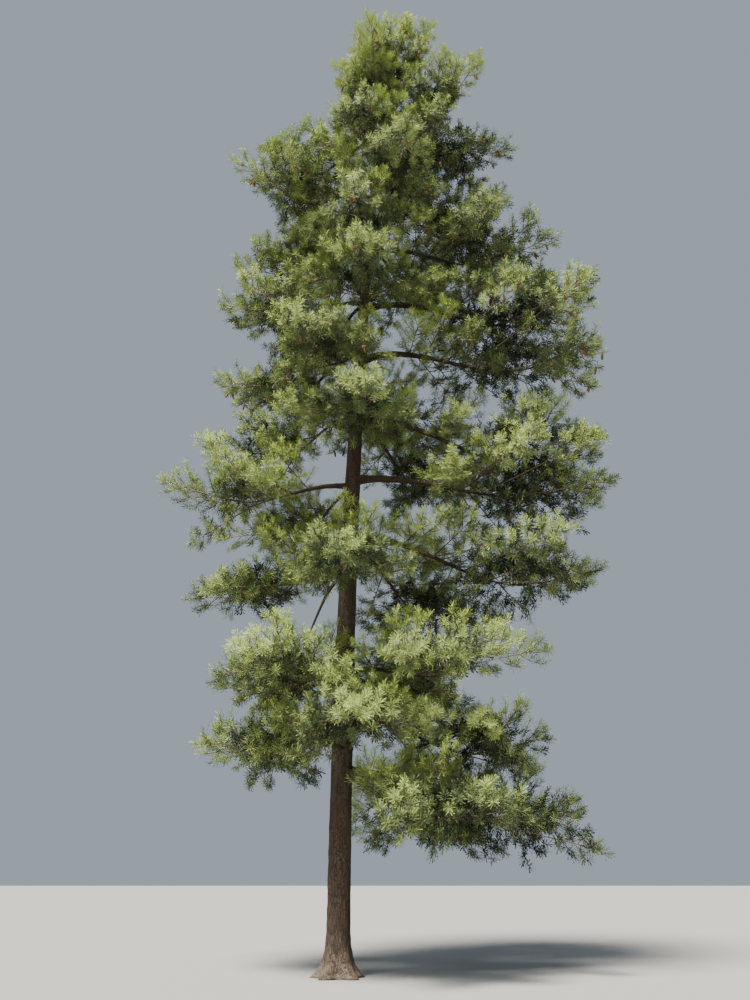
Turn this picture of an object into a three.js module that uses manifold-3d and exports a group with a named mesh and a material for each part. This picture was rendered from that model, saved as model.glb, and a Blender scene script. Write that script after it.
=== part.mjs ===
// A single Macedonian pine (Pinus peuce) growing in a park: one leaning, tapering trunk with a root flare,
// the boughs that show bare between its tiers, and a mass of needle plumes at the end of each arm.
// Millimetres, +Z up. The origin is the middle of the flat cut at ground level.
// +X is the tree's right as seen from its front, which faces -Y.
import * as THREE from "three";
import { mergeVertices } from "three/addons/utils/BufferGeometryUtils.js";
import Module from "manifold-3d";

const wasm = await Module();
wasm.setup();

// Driving dimensions of the trunk.
const trunkTop = 18600;
const taperHeight = 21400;
const buttRadius = 190;
const topRadius = 10;
const taperPower = 1.5;
const leanAtTop = 1090;
const leanPower = 2.1;
const flareSpread = 280;
const flareHeight = 210;
const flareRoots = 5;
const flareTurn = 2.9;
const flareLobes = 0.28;
const trunkSides = 14;
const flareRings = [60, 160, 320, 560, 900];
const ringSpacing = 1500;

// Clearance between solids that touch on the real tree.
const gap = 0.3;

// The tiers, from the ground up. Each has so many arms, set round the trunk from the angle turn, evenly or
// by step. fall is the drop from root to tip, pitch and lift the slopes at which an arm leaves the trunk and
// ends, thick half the depth of its masses, and reach how far the tier goes to each side. bare is the share
// of an arm that is a bough of its own, bareEvery says which arms have one, and scale makes plumes smaller.
// inner lets needles start closer to the trunk, and skew turns the arm at the back, so that the arms of
// neighbouring tiers stand in each other's gaps there.
const tiers = [
  {
    name: "skirt", height: 3300, arms: 3, turn: -34, step: 42, fall: 850, pitch: 4, lift: 2, thick: 810,
    reach: { left: 2900, right: 4850, front: 3000, back: 3100 },
  },
  {
    name: "base", height: 4300, arms: 4, turn: 10, fall: 450, pitch: 6, lift: 8, thick: 830,
    reach: { left: 2500, right: 3900, front: 3100, back: 3200 }, skew: 35,
  },
  {
    name: "low", height: 4950, arms: 4, turn: 55, fall: -50, pitch: 16, lift: 12, thick: 860,
    reach: { left: 2600, right: 4300, front: 3200, back: 3300 },
  },
  {
    name: "swag", height: 7650, arms: 4, turn: 176, fall: 900, pitch: 8, lift: 4, thick: 860,
    reach: { left: 2950, right: 5000, front: 2900, back: 3100 }, skew: -36,
  },
  {
    name: "limb", height: 8900, arms: 3, turn: -12, step: 100, fall: 400, pitch: 6, lift: 4, thick: 830,
    reach: { left: 3750, right: 5000, front: 3000, back: 3200 }, bare: 0.36, skew: 40,
  },
  {
    name: "arm", height: 10250, arms: 4, turn: 182, fall: 600, pitch: 12, lift: 10, thick: 860,
    reach: { left: 2950, right: 5100, front: 3100, back: 3200 }, bare: 0.36, bareEvery: 2, skew: -38,
  },
  {
    name: "middle", height: 11650, arms: 4, turn: 250, fall: 350, pitch: 16, lift: 14, thick: 860,
    reach: { left: 3100, right: 5600, front: 3000, back: 3200 },
  },
  {
    name: "upper", height: 13000, arms: 4, turn: 178, fall: 150, pitch: 20, lift: 16, thick: 830,
    reach: { left: 3150, right: 4850, front: 2900, back: 3000 }, skew: 42,
  },
  {
    name: "crown", height: 14400, arms: 4, turn: 170, fall: 50, pitch: 22, lift: 20, thick: 810,
    reach: { left: 3000, right: 4250, front: 2700, back: 2800 }, bare: 0.3, bareEvery: 2, skew: -32,
  },
  {
    name: "high", height: 15750, arms: 4, turn: 200, fall: 0, pitch: 26, lift: 25, thick: 780,
    reach: { left: 3150, right: 3650, front: 2600, back: 2700 }, inner: 0.16, skew: 22,
  },
  {
    name: "shoulder", height: 17250, arms: 4, turn: 170, fall: 400, pitch: 36, lift: 10, thick: 880,
    reach: { left: 3150, right: 3200, front: 2300, back: 2500 }, inner: 0.12, skew: -30,
  },
  {
    name: "peak", height: 17500, arms: 4, turn: -8, fall: -2350, pitch: 30, lift: 54, thick: 860,
    reach: { left: 1250, right: 2450, front: 1500, back: 1700 }, scale: 0.88, inner: 0.08, skew: 45,
  },
  {
    name: "head", height: 18350, arms: 3, turn: 184, step: 84, fall: -2400, pitch: 60, lift: 76, thick: 640,
    reach: { left: 650, right: 1150, front: 500, back: 900 }, scale: 0.75, inner: 0.12,
  },
];
// The long bare bough that hangs below the swag tier on the left, and the mass at its tip.
const hangingBough = {
  name: "hanging", height: 7100, azimuth: 186, reach: 2500, fall: 2150, pitch: -35, lift: -12, thick: 400,
  bare: 0.88, width: 900, scale: 0.85, sector: 30, seed: 900,
};
// The leader that goes on from the top of the trunk.
const leader = { rise: 2650, lean: 230, spread: 800, scale: 0.75, inner: 0.25, depth: 40, seed: 950 };
const azimuthJitter = 6;
const leastBackward = 0.85;
const heightJitter = 130;
const reachJitter = 0.03;

// Wood. An arm leaves the trunk straight for one share of its length and ends straight for another.
const straightRoot = 0.36;
const straightEnd = 0.34;
const boughSides = 6;
const stemSides = 4;
const limbSteps = 3;
const boughTaper = 0.34;
const radiusPerReach = 0.0165;
const leastRootRadius = 22;
const stemTipRadius = 9;
const twigRadius = 16;
const leastTwig = 420;
const longReach = 3900;
const uprightHeight = 17400;

// Plumes of needles. A plume is a slim three-sided core with two whorls of teeth that sweep forwards.
// Its outline is given from its first teeth to its tip as shares of its radius and its length.
const plumeLength = 1480;
const plumeRadius = 450;
const plumeSides = 3;
const plumeOutline = [
  [0.82, 0.5],
  [0.36, 0.43],
  [1, 0.79],
  [0.38, 0.7],
  [0, 1],
];
const tipPlume = plumeLength * 0.93;
const shrinkSteps = [1, 0.84, 0.68, 0.6];
const siblingRoom = 0.95;

// Shoots. Side shoots slant away from their stem by the root slant at its foot and the tip slant at its end,
// and the hanging slope turns the rise of a crest that hangs.
const sidePairs = 3;
const tipShootAt = 0.93;
const lastShootAt = 0.94;
const firstStep = 0.55;
const rootSlant = 64;
const tipSlant = 38;
const slantJitter = 8;
const outlineFill = 0.9;
const hangingSlope = -0.8;

// Spaces. The needles of an arm start at least leastInner along it, and its mass is widthPerReach as wide to
// each side as the arm is long, or less where the arms of its tier stand close.
const leastInner = 0.24;
const widthPerReach = 0.56;
const widthInSector = 0.7;
const widestSector = 50;
const leastWidth = 850;
const spaceMargin = 150;
const spaceStretch = 1.22;

// Room that is kept round the wood, and the spacing of the balls that stand for it.
const ballSpacing = 110;
const twigBallSpacing = 96;
const limbRoom = 12;
const twigRoom = 8;
const trunkRoom = 10;
// The balls that a plume must keep clear of its neighbours, as shares of its length and radius.
const plumeBalls = [
  [0.1, 0.14],
  [0.25, 0.42],
  [0.43, 0.74],
  [0.69, 0.93],
  [0.9, 0.4],
];

// Cones. One hangs behind the point of the plume at the tip of each arm above a height.
const coneHeight = 11000;
const coneAt = 0.86;
const coneLength = 330;
const coneRadius = 48;
const coneSides = 5;
const coneLean = 0.15;

// A small repeatable random-number rule, so that the tree is the same each time.
function seededRandom(seed) {
  let state = seed >>> 0;
  return () => {
    state = (state + 0x6d2b79f5) >>> 0;
    let t = state;
    t = Math.imul(t ^ (t >>> 15), t | 1);
    t ^= t + Math.imul(t ^ (t >>> 7), t | 61);
    return ((t ^ (t >>> 14)) >>> 0) / 4294967296;
  };
}

const radians = (degrees) => (degrees * Math.PI) / 180;
const up = new THREE.Vector3(0, 0, 1);
const mixed = (...parts) => parts.reduce((sum, [v, k]) => sum.addScaledVector(v, k), new THREE.Vector3());

// The trunk's axis and radius at a height.
function trunkAxis(z) {
  return new THREE.Vector3(leanAtTop * (Math.max(z, 0) / taperHeight) ** leanPower, 0, z);
}

function trunkRadius(z) {
  return topRadius + buttRadius * (1 - (Math.max(z, 0) / taperHeight) ** taperPower);
}

// A closed three.js geometry as a solid that can be cut and joined.
function toSolid(geometry) {
  geometry.deleteAttribute("normal");
  geometry.deleteAttribute("uv");
  const merged = mergeVertices(geometry, 1e-3);
  return new wasm.Manifold(
    new wasm.Mesh({
      numProp: 3,
      vertProperties: merged.attributes.position.array,
      triVerts: new Uint32Array(merged.index.array),
    }),
  );
}

function toGeometry(solid) {
  const mesh = solid.getMesh();
  const geometry = new THREE.BufferGeometry();
  geometry.setAttribute("position", new THREE.BufferAttribute(mesh.vertProperties, 3));
  geometry.setIndex(new THREE.BufferAttribute(mesh.triVerts, 1));
  geometry.computeVertexNormals();
  return geometry;
}

// Moves every vertex of a geometry by a function that changes the point in place.
function reshape(geometry, move) {
  const position = geometry.attributes.position;
  const point = new THREE.Vector3();
  for (let i = 0; i < position.count; i++) {
    point.fromBufferAttribute(position, i);
    move(point);
    position.setXYZ(i, point.x, point.y, point.z);
  }
  return geometry;
}

// The trunk: a turned profile that is bent to the lean, with the flare drawn out into roots.
function trunkSolid(clearance) {
  const heights = [0, ...flareRings];
  for (let z = ringSpacing; z < trunkTop; z += ringSpacing) heights.push(z);
  heights.push(trunkTop + clearance);
  const profile = [
    new THREE.Vector2(0, 0),
    ...heights.map((z) => new THREE.Vector2(trunkRadius(z) + clearance, z)),
    new THREE.Vector2(0, trunkTop + clearance),
  ];
  const geometry = new THREE.LatheGeometry(profile, trunkSides);
  geometry.rotateX(Math.PI / 2);
  return toSolid(
    reshape(geometry, (p) => {
      const angle = Math.atan2(p.y, p.x);
      const lobes = 1 - flareLobes + flareLobes * Math.cos(flareRoots * (angle - flareTurn));
      const flare = 1 + (flareSpread / buttRadius) * lobes * Math.exp(-p.z / flareHeight);
      const axis = trunkAxis(p.z);
      p.set(axis.x + p.x * flare, axis.y + p.y * flare, p.z);
    }),
  );
}

// The line of an arm: out of the trunk at its pitch, ending at its lift where the plume at its tip begins.
function armCurve({ height, azimuth, reach, fall, pitch, lift, scale }) {
  const out = new THREE.Vector3(Math.cos(radians(azimuth)), Math.sin(radians(azimuth)), 0);
  const end = mixed([out, Math.cos(radians(lift))], [up, Math.sin(radians(lift))]);
  const root = trunkAxis(height);
  const tip = mixed([root, 1], [out, reach], [up, -fall], [end, -tipPlume * scale]);
  const length = Math.hypot(tip.x - root.x, tip.y - root.y, tip.z - root.z);
  const start = mixed([out, Math.cos(radians(pitch))], [up, Math.sin(radians(pitch))]);
  const shoulder = mixed([root, 1], [start, length * straightRoot]);
  const elbow = mixed([tip, 1], [end, -length * straightEnd]);
  return new THREE.CubicBezierCurve3(root, shoulder, elbow, tip);
}

// The directions along, across and above a curve at a share of it.
function frameAt(curve, t) {
  const along = curve.getTangent(t);
  const across = along.clone().cross(up);
  if (across.length() < 0.05) across.set(0, -1, 0);
  across.normalize();
  return { point: curve.getPoint(t), along, across, above: across.clone().cross(along) };
}

// One tapering limb along a stretch of a curve, given as the shares where it starts and ends and its radii.
function limbSolid(curve, [from, to, rootRadius, tipRadius], sides) {
  const geometry = new THREE.CylinderGeometry(1, 1, 1, sides, limbSteps);
  return toSolid(
    reshape(geometry, (p) => {
      const share = p.y + 0.5;
      const { point, across, above } = frameAt(curve, from + (to - from) * share);
      const radius = rootRadius + (tipRadius - rootRadius) * share;
      p.copy(mixed([point, 1], [across, p.x * radius], [above, p.z * radius]));
    }),
  );
}

// Turns a geometry that points along +Y so that it points along a direction, its width across.
function aim(geometry, root, along, across) {
  const side = mixed([across, 1], [along, -across.dot(along)]).normalize();
  const above = side.clone().cross(along);
  geometry.applyMatrix4(new THREE.Matrix4().makeBasis(side, along, above).setPosition(root));
  return geometry;
}

// A plume, with the bare twig that carries it if it has one: their outline turned on a lathe with few sides.
function plumeSolid({ root, along, across, length, radius, twig }) {
  const needled = plumeOutline.map(([out, at]) => new THREE.Vector2(out * radius, at * length + twig));
  const bare = [new THREE.Vector2(twigRadius, 0), new THREE.Vector2(twigRadius * 0.7, twig)];
  const profile = [new THREE.Vector2(0, 0), ...(twig ? bare : []), ...needled];
  return toSolid(aim(new THREE.LatheGeometry(profile, plumeSides), root, along, across));
}

// Where the cone of a plume hangs, and which way.
function conePlace({ root, along, length, twig }) {
  const top = mixed([root, 1], [along, twig + coneAt * length]);
  return { top, down: mixed([up, -1], [along, coneLean]).normalize() };
}

function coneSolid(plume) {
  const { top, down } = conePlace(plume);
  const outline = [[0, 0], [coneRadius, 0.62], [0, 1]];
  const profile = outline.map(([out, at]) => new THREE.Vector2(out, at * coneLength));
  return toSolid(aim(new THREE.LatheGeometry(profile, coneSides), top, down, plume.across));
}

// The ellipsoid that a mass keeps to, from where its needles start to the end of the plume at its tip.
function massSpace(start, end, width, thick) {
  const along = end.clone().sub(start);
  const half = along.length() / 2 + spaceMargin;
  along.normalize();
  const across = along.clone().cross(up);
  if (across.length() < 0.05) across.set(0, -1, 0);
  across.normalize();
  const axes = [along, across, across.clone().cross(along)];
  return { centre: mixed([start, 0.5], [end, 0.5]), axes, halves: [half, width, thick] };
}

// How far out a point lies in a space, where 1 is its skin.
function depthIn(space, point) {
  const offset = point.clone().sub(space.centre);
  const parts = space.axes.map((axis, i) => offset.dot(axis) / space.halves[i]);
  return Math.hypot(...parts);
}

// Gives an arm its curve, wood and space. A long arm carries a thicker mass.
function completeArm(arm) {
  const curve = armCurve(arm);
  const inner = Math.max(arm.bare, arm.inner ?? leastInner);
  const sector = Math.tan(radians(Math.min(arm.sector, widestSector)));
  const room = Math.min(widthPerReach, widthInSector * sector);
  const width = arm.width ?? Math.max(leastWidth, arm.reach * room);
  const rootRadius = Math.max(leastRootRadius, arm.reach * radiusPerReach);
  const end = mixed([curve.getPoint(1), 1], [curve.getTangent(1), tipPlume * arm.scale]);
  const bulk = Math.max(1, arm.reach / longReach);
  const space = massSpace(curve.getPoint(inner), end, width, arm.thick * bulk);
  return { ...arm, curve, inner, rootRadius, space, width, bulk };
}

// Every arm of the tree, worked out from the tiers.
function layOutArms() {
  const arms = [];
  tiers.forEach((tier, level) => {
    const random = seededRandom(100 + level);
    const jitter = (most) => (random() * 2 - 1) * most;
    for (let i = 0; i < tier.arms; i++) {
      const even = tier.turn + (tier.step ?? 360 / tier.arms) * i + jitter(azimuthJitter);
      const azimuth = even + (Math.sin(radians(even)) > leastBackward ? (tier.skew ?? 0) : 0);
      const c = Math.cos(radians(azimuth));
      const s = Math.sin(radians(azimuth));
      const side = c > 0 ? tier.reach.right : tier.reach.left;
      const depth = s > 0 ? tier.reach.back : tier.reach.front;
      const reach = (1 + jitter(reachJitter)) / Math.hypot(c / side, s / depth);
      const height = tier.height + jitter(heightJitter);
      const bare = i % (tier.bareEvery ?? 1) === 0 ? (tier.bare ?? 0) : 0;
      const scale = tier.scale ?? 1;
      const place = { name: `${tier.name}_${i + 1}`, azimuth, reach, height, bare, scale };
      arms.push({ ...tier, ...place, sector: 180 / tier.arms, seed: level * 20 + i });
    }
  });
  arms.push(hangingBough);
  return arms.map(completeArm);
}

// The leader: nearly upright, out of the top of the trunk.
function layOutLeader() {
  const lean = trunkAxis(trunkTop).sub(trunkAxis(trunkTop - 500)).normalize();
  const root = trunkAxis(trunkTop - leader.depth);
  const rise = leader.rise - tipPlume * leader.scale;
  const tip = mixed([root, 1], [lean, rise], [new THREE.Vector3(1, 0, 0), leader.lean]);
  const lower = mixed([root, 1], [lean, rise * 0.35]);
  const upper = mixed([tip, 1], [lean, -rise * 0.35]);
  const curve = new THREE.CubicBezierCurve3(root, lower, upper, tip);
  const end = mixed([tip, 1], [lean, tipPlume * leader.scale]);
  const space = massSpace(root, end, leader.spread, leader.spread);
  const rootRadius = trunkRadius(trunkTop) * 0.85;
  const sizes = { height: trunkTop, reach: leader.rise, rootRadius, width: leader.spread };
  return { ...leader, ...sizes, bare: 0, bulk: 1, name: "leader", curve, space };
}

const arms = [...layOutArms(), layOutLeader()];
const isUpright = (arm) => arm.height > uprightHeight;

// The shoots that an arm tries to grow, in order: its tip, then shoots to both sides, with crests between.
// Every other crest of a long arm hangs below it.
function shootsOf(arm) {
  const random = seededRandom(arm.seed + 7);
  const vary = (least, most) => least + (most - least) * random();
  const end = frameAt(arm.curve, tipShootAt);
  const shoots = [
    {
      root: end.point,
      along: mixed([end.along, 1], [up, 0.18]).normalize(),
      across: end.across,
      size: vary(0.95, 1.08),
      twig: 0,
    },
  ];
  const pairs = isUpright(arm) ? sidePairs - 1 : sidePairs + (arm.reach > longReach ? 1 : 0);
  const shareOf = (i) => 1 - (i + firstStep) / (pairs * 2);
  const placeOf = (i) => frameAt(arm.curve, arm.inner + (lastShootAt - arm.inner) * shareOf(i));
  for (let i = 0; i < pairs * 2; i++) {
    const share = shareOf(i);
    const side = i % 2 ? 1 : -1;
    const { point, along, across, above } = placeOf(i);
    const angle = radians(rootSlant - (rootSlant - tipSlant) * share + vary(-slantJitter, slantJitter));
    const tilt = vary(0.05, 0.4) - (i % 3 === 1 ? 0.3 : 0);
    const sideways = side * Math.sin(angle);
    const direction = mixed([along, Math.cos(angle)], [across, sideways], [above, tilt]).normalize();
    const size = vary(0.85, 1.05);
    const outline = arm.width * Math.sqrt(1 - (2 * share - 1) ** 2) * outlineFill;
    const bareTwig = outline / Math.sin(angle) - plumeLength * size;
    shoots.push({ root: point, along: direction, across: above, size, twig: Math.max(0, bareTwig) });
  }
  for (let i = 0; i < pairs; i++) {
    const { point, along, across } = placeOf(i * 2 + 0.5);
    const slope = arm.bulk > 1 && i % 2 === 1 ? hangingSlope : 1;
    const parts = [[along, vary(0.5, 1)], [across, vary(-0.3, 0.3)], [up, vary(0.7, 1) * slope]];
    const crest = mixed(...parts).normalize();
    shoots.push({ root: point, along: crest, across, size: vary(0.7, 0.9) * arm.bulk, twig: 0 });
  }
  return shoots;
}

// The balls of a limb and of a plume, which say how much room each takes.
function limbBalls(curve, [from, to, rootRadius, tipRadius]) {
  const steps = Math.ceil((curve.getLength() * (to - from)) / ballSpacing);
  return Array.from({ length: steps + 1 }, (_, i) => ({
    centre: curve.getPoint(from + ((to - from) * i) / steps),
    radius: rootRadius + ((tipRadius - rootRadius) * i) / steps + limbRoom,
  }));
}

function plumeRoom(plume) {
  const { root, along, length, radius, twig } = plume;
  const balls = plumeBalls.map(([at, share]) => ({
    centre: mixed([root, 1], [along, twig + at * length]),
    radius: share * radius,
    isOuter: at > 0.4,
  }));
  for (let at = twigBallSpacing; at < twig; at += twigBallSpacing) {
    balls.push({ centre: mixed([root, 1], [along, at]), radius: twigRadius + twigRoom });
  }
  if (plume.hasCone) {
    const { top, down } = conePlace(plume);
    balls.push({ centre: mixed([top, 1], [down, coneLength * 0.7]), radius: coneRadius * 2 });
  }
  return balls;
}

const nearTrunk = ({ centre, radius }) => {
  if (centre.z > trunkTop + radius) return false;
  const axis = trunkAxis(centre.z);
  return Math.hypot(centre.x - axis.x, centre.y - axis.y) < trunkRadius(centre.z) + radius + trunkRoom;
};

// The wood of each arm as shares and radii: its bough, if it has one, and the stem of its mass.
const stemTip = 1;
function woodSizes(arm) {
  const cut = arm.bare ? arm.rootRadius * (1 - arm.bare * (1 - boughTaper)) : arm.rootRadius;
  const speed = arm.curve.getPoint(arm.bare).distanceTo(arm.curve.getPoint(arm.bare + 0.001)) / 0.001;
  const start = arm.bare ? arm.bare + gap / speed : 0;
  return { bough: [0, arm.bare, arm.rootRadius, cut], stem: [start, stemTip, cut, stemTipRadius] };
}

const taken = [];
for (const arm of arms) {
  const { bough, stem } = woodSizes(arm);
  if (arm.bare) taken.push(...limbBalls(arm.curve, bough).map((ball) => ({ ...ball, owner: null })));
  taken.push(...limbBalls(arm.curve, stem).map((ball) => ({ ...ball, owner: arm })));
}

// True when a ball has room beside one that is taken. Plumes of one mass may meet at their roots.
function hasRoom(arm, ball, other) {
  const distance = other.centre.distanceTo(ball.centre);
  if (other.owner !== arm) return distance > other.radius + ball.radius;
  return !other.isOuter || !ball.isOuter || distance > (other.radius + ball.radius) * siblingRoom;
}

// True when none of these balls touches the trunk, a bough or another mass.
function isFree(arm, balls) {
  return balls.every((ball) => !nearTrunk(ball) && taken.every((other) => hasRoom(arm, ball, other)));
}

// Places one shoot, at the largest size that keeps to its space and clear of everything else.
function placeShoot(arm, shoot) {
  for (const size of shrinkSteps.map((shrink) => shrink * shoot.size * arm.scale)) {
    const twig = shoot.twig * size > leastTwig ? shoot.twig * size : 0;
    const hasCone = arm.height > coneHeight && arm.plumes.length === 0;
    const plume = { ...shoot, length: plumeLength * size, radius: plumeRadius * size, twig, hasCone };
    const room = plumeRoom(plume);
    const tip = mixed([plume.root, 1], [plume.along, plume.twig + plume.length]);
    if (depthIn(arm.space, tip) < spaceStretch && isFree(arm, room)) {
      taken.push(...room.map((ball) => ({ ...ball, owner: arm })));
      arm.plumes.push(plume);
      return;
    }
  }
}

// All arms grow in turn, one shoot at a time, so that none takes another's room.
const wanted = arms.map((arm) => {
  arm.plumes = [];
  return shootsOf(arm);
});
for (let turn = 0; turn < Math.max(...wanted.map((shoots) => shoots.length)); turn++) {
  arms.forEach((arm, i) => {
    if (wanted[i][turn]) placeShoot(arm, wanted[i][turn]);
  });
}

const trunkClear = trunkSolid(gap);

// A limb that is cut clear of the trunk that it grows from.
function clearOfTrunk(limb) {
  const outside = limb.subtract(trunkClear).decompose();
  return outside.sort((a, b) => b.volume() - a.volume())[0];
}

const bark = new THREE.MeshStandardMaterial({ color: 0x5c4a3d, roughness: 0.95, metalness: 0 });
const limbBark = new THREE.MeshStandardMaterial({ color: 0x55493e, roughness: 0.95, metalness: 0 });
const needles = new THREE.MeshStandardMaterial({ color: 0x68753f, roughness: 0.8, metalness: 0 });

const tree = new THREE.Group();
function addNode(name, solid, material) {
  const mesh = new THREE.Mesh(toGeometry(solid), material);
  mesh.name = name;
  tree.add(mesh);
}

addNode("trunk", trunkSolid(0), bark);
for (const arm of arms) {
  const { bough, stem } = woodSizes(arm);
  if (arm.bare) {
    addNode(`bough_${arm.name}`, clearOfTrunk(limbSolid(arm.curve, bough, boughSides)), limbBark);
  }
  const wholeStem = limbSolid(arm.curve, stem, stemSides);
  const cutStem = arm.bare ? wholeStem : clearOfTrunk(wholeStem);
  const cones = arm.plumes.filter((plume) => plume.hasCone).map(coneSolid);
  const fused = wasm.Manifold.union([cutStem, ...arm.plumes.map(plumeSolid), ...cones]).decompose();
  addNode(`mass_${arm.name}`, fused.sort((a, b) => b.volume() - a.volume())[0], needles);
}
export default tree;
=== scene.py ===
# %% [markdown]
# A grown Macedonian pine, dressed for its picture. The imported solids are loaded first: the trunk, the main
# boughs and one toothed solid for each mass of needles. The looks are fitted to them, because the same
# named sizes and the same seeded rule are written again below, so every twig grows where its solid stands.

# %% Load the frame
import math

import bmesh
import bpy
import numpy as np
from mathutils import Euler, Matrix, Vector


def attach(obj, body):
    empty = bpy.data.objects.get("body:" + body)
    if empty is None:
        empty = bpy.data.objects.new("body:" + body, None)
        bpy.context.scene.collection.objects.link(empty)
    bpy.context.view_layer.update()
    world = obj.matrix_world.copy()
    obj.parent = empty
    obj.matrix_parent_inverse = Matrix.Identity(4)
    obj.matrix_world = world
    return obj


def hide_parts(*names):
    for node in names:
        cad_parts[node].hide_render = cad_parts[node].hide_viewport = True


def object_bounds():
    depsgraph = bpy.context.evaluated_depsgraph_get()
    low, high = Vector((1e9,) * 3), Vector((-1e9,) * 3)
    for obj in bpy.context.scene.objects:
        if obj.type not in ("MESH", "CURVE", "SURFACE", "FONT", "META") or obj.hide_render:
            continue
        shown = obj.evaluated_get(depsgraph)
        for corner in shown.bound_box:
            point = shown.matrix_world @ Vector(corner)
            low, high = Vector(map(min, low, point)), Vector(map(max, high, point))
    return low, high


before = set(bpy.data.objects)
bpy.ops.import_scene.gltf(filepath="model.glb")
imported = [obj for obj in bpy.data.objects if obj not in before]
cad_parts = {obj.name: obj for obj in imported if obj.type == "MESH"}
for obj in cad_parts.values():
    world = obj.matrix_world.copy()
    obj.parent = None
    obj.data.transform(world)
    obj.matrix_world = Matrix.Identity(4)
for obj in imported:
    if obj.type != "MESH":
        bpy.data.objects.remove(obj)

solids_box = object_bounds()
names = sorted(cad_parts)
masses = [name for name in names if name.startswith("mass_")]
boughs = [name for name in names if name.startswith("bough_")]
print("solids", len(names), "masses", len(masses), "boughs", len(boughs))

# %% [markdown]
# The camera stands on the ground at eye height, 18 m in front of the trunk, and looks up by 21 degrees, so
# the trunk's foot lies near the lower edge and the top near the upper one. The lens is a usual 35 mm one.

# %% Camera
eye_height = 1.6
eye_distance = 18.0
eye_right = 0.62
look_up = 21.1
lens = 35.0
sensor_long_side = 36.0
farthest_seen = 500


def link(thing):
    bpy.context.scene.collection.objects.link(thing)
    return thing


camera = link(bpy.data.objects.new("camera", bpy.data.cameras.new("camera")))
camera.data.lens = lens
camera.data.sensor_fit = "VERTICAL"
camera.data.sensor_height = sensor_long_side
camera.data.clip_end = farthest_seen
camera.location = (eye_right, -eye_distance, eye_height)
camera.rotation_euler = Euler((math.radians(90 + look_up), 0, 0))
bpy.context.scene.camera = camera
print("camera at", tuple(round(c, 2) for c in camera.location))

# %% [markdown]
# The tree's driving sizes in metres. A pine's trunk narrows slowly, leans more the higher it gets, and
# spreads into roots at the ground. Its arms stand in tiers. Each tier says how its arms fall, their pitch
# at the trunk and lift at the tip, how thick their masses are, and how far they reach to the left, right,
# front and back. Bare is the share of an arm that shows before its mass, inner is the least such share,
# and skew turns a rear arm aside, so that these don't all stand in one row.

# %% Sizes of the trunk and the tiers
trunk_top = 18.6
taper_height = 21.4
butt_radius = 0.19
top_radius = 0.01
taper_power = 1.5
lean_at_top = 1.09
lean_power = 2.1
flare_spread = 0.28
flare_height = 0.21
flare_roots = 5
flare_turn = 2.9
flare_lobes = 0.28

tier_keys = ("name", "height", "arms", "turn", "fall", "pitch", "lift", "thick", "reach")
tier_rows = [
    ("skirt", 3.3, 3, -34, 0.85, 4, 2, 0.81, (2.9, 4.85, 3.0, 3.1), dict(step=42)),
    ("base", 4.3, 4, 10, 0.45, 6, 8, 0.83, (2.5, 3.9, 3.1, 3.2), dict(skew=35)),
    ("low", 4.95, 4, 55, -0.05, 16, 12, 0.86, (2.6, 4.3, 3.2, 3.3), {}),
    ("swag", 7.65, 4, 176, 0.9, 8, 4, 0.86, (2.95, 5.0, 2.9, 3.1), dict(skew=-36)),
    ("limb", 8.9, 3, -12, 0.4, 6, 4, 0.83, (3.75, 5.0, 3.0, 3.2), dict(step=100, bare=0.36, skew=40)),
    ("arm", 10.25, 4, 182, 0.6, 12, 10, 0.86, (2.95, 5.1, 3.1, 3.2),
     dict(bare=0.36, bare_every=2, skew=-38)),
    ("middle", 11.65, 4, 250, 0.35, 16, 14, 0.86, (3.1, 5.6, 3.0, 3.2), {}),
    ("upper", 13.0, 4, 178, 0.15, 20, 16, 0.83, (3.15, 4.85, 2.9, 3.0), dict(skew=42)),
    ("crown", 14.4, 4, 170, 0.05, 22, 20, 0.81, (3.0, 4.25, 2.7, 2.8),
     dict(bare=0.3, bare_every=2, skew=-32)),
    ("high", 15.75, 4, 200, 0.0, 26, 25, 0.78, (3.15, 3.65, 2.6, 2.7), dict(inner=0.16, skew=22)),
    ("shoulder", 17.25, 4, 170, 0.4, 36, 10, 0.88, (3.15, 3.2, 2.3, 2.5), dict(inner=0.12, skew=-30)),
    ("peak", 17.5, 4, -8, -2.35, 30, 54, 0.86, (1.25, 2.45, 1.5, 1.7),
     dict(scale=0.88, inner=0.08, skew=45)),
    ("head", 18.35, 3, 184, -2.4, 60, 76, 0.64, (0.65, 1.15, 0.5, 0.9),
     dict(step=84, scale=0.75, inner=0.12)),
]
tiers = [dict(zip(tier_keys, row), **more) for *row, more in tier_rows]
hanging_bough = dict(
    name="hanging", height=7.1, azimuth=186, reach=2.5, fall=2.15, pitch=-35, lift=-12, thick=0.4,
    bare=0.88, width=0.9, scale=0.85, sector=30, seed=900,
)
leader = dict(rise=2.65, lean=0.23, spread=0.8, scale=0.75, inner=0.25, depth=0.04, seed=950)
azimuth_jitter = 6
least_backward = 0.85
height_jitter = 0.13
reach_jitter = 0.03
print("tiers", len(tiers), "arms", sum(tier["arms"] for tier in tiers) + 2)

# %% [markdown]
# The solids were grown from this small random-number rule, so it is used here instead of a library's. The
# other helpers are the trunk's line and cubic curves.

# %% Chances, the trunk's line and curves
up = np.array([0.0, 0.0, 1.0])
forward = np.array([0.0, -1.0, 0.0])
word = 0xFFFFFFFF
nearly_upright = 0.05
small_step = 1e-4
length_samples = 201


def seeded_random(seed):
    state = seed & word

    def draw():
        nonlocal state
        state = (state + 0x6D2B79F5) & word
        t = ((state ^ (state >> 15)) * (state | 1)) & word
        t ^= (t + (t ^ (t >> 7)) * (t | 61)) & word
        return (t ^ (t >> 14)) / (word + 1)

    return draw


def unit(vector):
    return vector / np.linalg.norm(vector, axis=-1, keepdims=True)


def between(low, high, share):
    return low + (high - low) * share


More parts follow.
